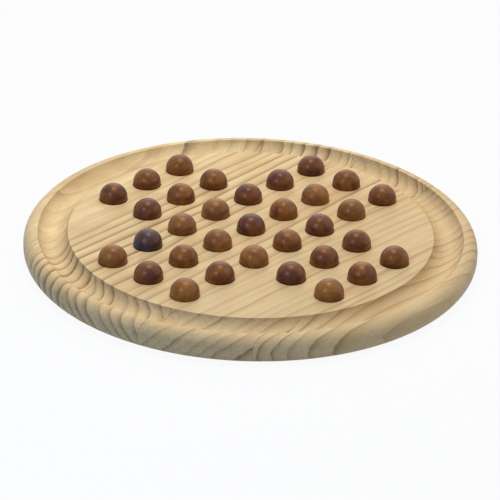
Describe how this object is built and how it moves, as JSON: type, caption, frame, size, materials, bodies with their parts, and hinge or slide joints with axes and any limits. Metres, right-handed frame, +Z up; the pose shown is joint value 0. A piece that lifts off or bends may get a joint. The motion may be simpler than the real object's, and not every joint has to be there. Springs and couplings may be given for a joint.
{
  "type": "solitaire board",
  "caption": "Round wooden solitaire board: loose balls in a cross of dimples, and a groove round the edge for the balls taken off.",
  "frame": {"origin": "centre of the underside, on the surface the board rests on", "axes": "+X along the grain, the glue lines and the rows of dimples a to g, +Y along the columns 1 to 7, +Z up"},
  "size_m": [0.3004, 0.3006, 0.0289],
  "materials": {
    "pine": "turned and sanded pine under a thin clear satin varnish",
    "ball_wood": "dark brown stain under a smooth satin lacquer"
  },
  "bodies": {
    "board": {"stave_1": "pine", "stave_2": "pine", "stave_3": "pine", "stave_4": "pine", "stave_5": "pine"},
    "ball_a3": {"ball_a3": "ball_wood"},
    "ball_a4": {"ball_a4": "ball_wood"},
    "ball_a5": {"ball_a5": "ball_wood"},
    "ball_b3": {"ball_b3": "ball_wood"},
    "ball_b4": {"ball_b4": "ball_wood"},
    "ball_b5": {"ball_b5": "ball_wood"},
    "ball_c1": {"ball_c1": "ball_wood"},
    "ball_c2": {"ball_c2": "ball_wood"},
    "ball_c3": {"ball_c3": "ball_wood"},
    "ball_c4": {"ball_c4": "ball_wood"},
    "ball_c5": {"ball_c5": "ball_wood"},
    "ball_c6": {"ball_c6": "ball_wood"},
    "ball_c7": {"ball_c7": "ball_wood"},
    "ball_d1": {"ball_d1": "ball_wood"},
    "ball_d2": {"ball_d2": "ball_wood"},
    "ball_d3": {"ball_d3": "ball_wood"},
    "ball_d4": {"ball_d4": "ball_wood"},
    "ball_d5": {"ball_d5": "ball_wood"},
    "ball_d6": {"ball_d6": "ball_wood"},
    "ball_d7": {"ball_d7": "ball_wood"},
    "ball_e1": {"ball_e1": "ball_wood"},
    "ball_e2": {"ball_e2": "ball_wood"},
    "ball_e3": {"ball_e3": "ball_wood"},
    "ball_e4": {"ball_e4": "ball_wood"},
    "ball_e5": {"ball_e5": "ball_wood"},
    "ball_e6": {"ball_e6": "ball_wood"},
    "ball_e7": {"ball_e7": "ball_wood"},
    "ball_f3": {"ball_f3": "ball_wood"},
    "ball_f4": {"ball_f4": "ball_wood"},
    "ball_f5": {"ball_f5": "ball_wood"},
    "ball_g3": {"ball_g3": "ball_wood"},
    "ball_g4": {"ball_g4": "ball_wood"},
    "ball_g5": {"ball_g5": "ball_wood"}
  },
  "joints": [
    {"name": "lift_a3", "type": "slide", "parent": "board", "child": "ball_a3", "axis": [0, 0, 1], "range_m": [0, 0.03]},
    {"name": "lift_a4", "type": "slide", "parent": "board", "child": "ball_a4", "axis": [0, 0, 1], "range_m": [0, 0.03]},
    {"name": "lift_a5", "type": "slide", "parent": "board", "child": "ball_a5", "axis": [0, 0, 1], "range_m": [0, 0.03]},
    {"name": "lift_b3", "type": "slide", "parent": "board", "child": "ball_b3", "axis": [0, 0, 1], "range_m": [0, 0.03]},
    {"name": "lift_b4", "type": "slide", "parent": "board", "child": "ball_b4", "axis": [0, 0, 1], "range_m": [0, 0.03]},
    {"name": "lift_b5", "type": "slide", "parent": "board", "child": "ball_b5", "axis": [0, 0, 1], "range_m": [0, 0.03]},
    {"name": "lift_c1", "type": "slide", "parent": "board", "child": "ball_c1", "axis": [0, 0, 1], "range_m": [0, 0.03]},
    {"name": "lift_c2", "type": "slide", "parent": "board", "child": "ball_c2", "axis": [0, 0, 1], "range_m": [0, 0.03]},
    {"name": "lift_c3", "type": "slide", "parent": "board", "child": "ball_c3", "axis": [0, 0, 1], "range_m": [0, 0.03]},
    {"name": "lift_c4", "type": "slide", "parent": "board", "child": "ball_c4", "axis": [0, 0, 1], "range_m": [0, 0.03]},
    {"name": "lift_c5", "type": "slide", "parent": "board", "child": "ball_c5", "axis": [0, 0, 1], "range_m": [0, 0.03]},
    {"name": "lift_c6", "type": "slide", "parent": "board", "child": "ball_c6", "axis": [0, 0, 1], "range_m": [0, 0.03]},
    {"name": "lift_c7", "type": "slide", "parent": "board", "child": "ball_c7", "axis": [0, 0, 1], "range_m": [0, 0.03]},
    {"name": "lift_d1", "type": "slide", "parent": "board", "child": "ball_d1", "axis": [0, 0, 1], "range_m": [0, 0.03]},
    {"name": "lift_d2", "type": "slide", "parent": "board", "child": "ball_d2", "axis": [0, 0, 1], "range_m": [0, 0.03]},
    {"name": "lift_d3", "type": "slide", "parent": "board", "child": "ball_d3", "axis": [0, 0, 1], "range_m": [0, 0.03]},
    {"name": "lift_d4", "type": "slide", "parent": "board", "child": "ball_d4", "axis": [0, 0, 1], "range_m": [0, 0.03]},
    {"name": "lift_d5", "type": "slide", "parent": "board", "child": "ball_d5", "axis": [0, 0, 1], "range_m": [0, 0.03]},
    {"name": "lift_d6", "type": "slide", "parent": "board", "child": "ball_d6", "axis": [0, 0, 1], "range_m": [0, 0.03]},
    {"name": "lift_d7", "type": "slide", "parent": "board", "child": "ball_d7", "axis": [0, 0, 1], "range_m": [0, 0.03]},
    {"name": "lift_e1", "type": "slide", "parent": "board", "child": "ball_e1", "axis": [0, 0, 1], "range_m": [0, 0.03]},
    {"name": "lift_e2", "type": "slide", "parent": "board", "child": "ball_e2", "axis": [0, 0, 1], "range_m": [0, 0.03]},
    {"name": "lift_e3", "type": "slide", "parent": "board", "child": "ball_e3", "axis": [0, 0, 1], "range_m": [0, 0.03]},
    {"name": "lift_e4", "type": "slide", "parent": "board", "child": "ball_e4", "axis": [0, 0, 1], "range_m": [0, 0.03]},
    {"name": "lift_e5", "type": "slide", "parent": "board", "child": "ball_e5", "axis": [0, 0, 1], "range_m": [0, 0.03]},
    {"name": "lift_e6", "type": "slide", "parent": "board", "child": "ball_e6", "axis": [0, 0, 1], "range_m": [0, 0.03]},
    {"name": "lift_e7", "type": "slide", "parent": "board", "child": "ball_e7", "axis": [0, 0, 1], "range_m": [0, 0.03]},
    {"name": "lift_f3", "type": "slide", "parent": "board", "child": "ball_f3", "axis": [0, 0, 1], "range_m": [0, 0.03]},
    {"name": "lift_f4", "type": "slide", "parent": "board", "child": "ball_f4", "axis": [0, 0, 1], "range_m": [0, 0.03]},
    {"name": "lift_f5", "type": "slide", "parent": "board", "child": "ball_f5", "axis": [0, 0, 1], "range_m": [0, 0.03]},
    {"name": "lift_g3", "type": "slide", "parent": "board", "child": "ball_g3", "axis": [0, 0, 1], "range_m": [0, 0.03]},
    {"name": "lift_g4", "type": "slide", "parent": "board", "child": "ball_g4", "axis": [0, 0, 1], "range_m": [0, 0.03]},
    {"name": "lift_g5", "type": "slide", "parent": "board", "child": "ball_g5", "axis": [0, 0, 1], "range_m": [0, 0.03]}
  ]
}
